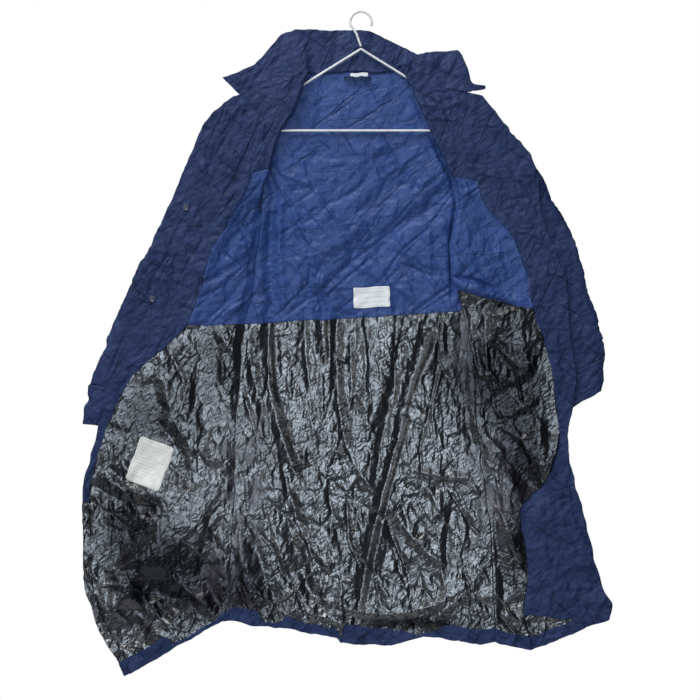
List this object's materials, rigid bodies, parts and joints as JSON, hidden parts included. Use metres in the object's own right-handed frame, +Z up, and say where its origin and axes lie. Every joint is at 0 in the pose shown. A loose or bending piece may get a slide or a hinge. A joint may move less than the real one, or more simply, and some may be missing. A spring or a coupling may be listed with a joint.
{
  "type": "raincoat on wire hanger",
  "caption": "Long proofed raincoat hung open on a coated wire hanger, with a turned-up collar, a half lining, faced fronts folded out and sleeves hanging behind.",
  "frame": {"origin": "inner top of the hanger's hook, where it rests on a rail", "axes": "+Z up, -Y towards the viewer and the wearer's front, +X to the viewer's right, which is the wearer's left"},
  "size_m": [1.008, 0.037, 1.2666],
  "materials": {
    "shell": "matt navy nylon outside, glossy black coating inside",
    "lining": "satin",
    "label": "matt",
    "button": "satin",
    "wire": "smooth white coating"
  },
  "bodies": {
    "root": {"back_shell": "shell", "back_right_side": "shell", "back_left_side": "shell", "right_shoulder": "shell", "left_shoulder": "shell", "right_front_shell": "shell", "left_front_shell": "shell", "collar": "shell", "right_sleeve_head": "shell", "left_sleeve_head": "shell", "right_sleeve": "shell", "left_sleeve": "shell", "right_forearm": "shell", "left_forearm": "shell", "right_cuff": "shell", "left_cuff": "shell", "right_facing": "shell", "left_facing": "shell", "back_hem_band": "shell", "right_hem_band": "shell", "left_hem_band": "shell", "neck_loop": "shell", "back_lining": "lining", "right_front_lining": "lining", "left_front_lining": "lining", "name_label": "label", "care_label": "label", "neck_loop_label": "label", "backing_button_1": "button", "backing_button_2": "button", "front_button_1": "button", "front_button_2": "button", "hanger_right_arm": "wire", "hanger_left_arm": "wire", "hanger_bar": "wire", "hanger_hook": "wire"}
  },
  "joints": []
}
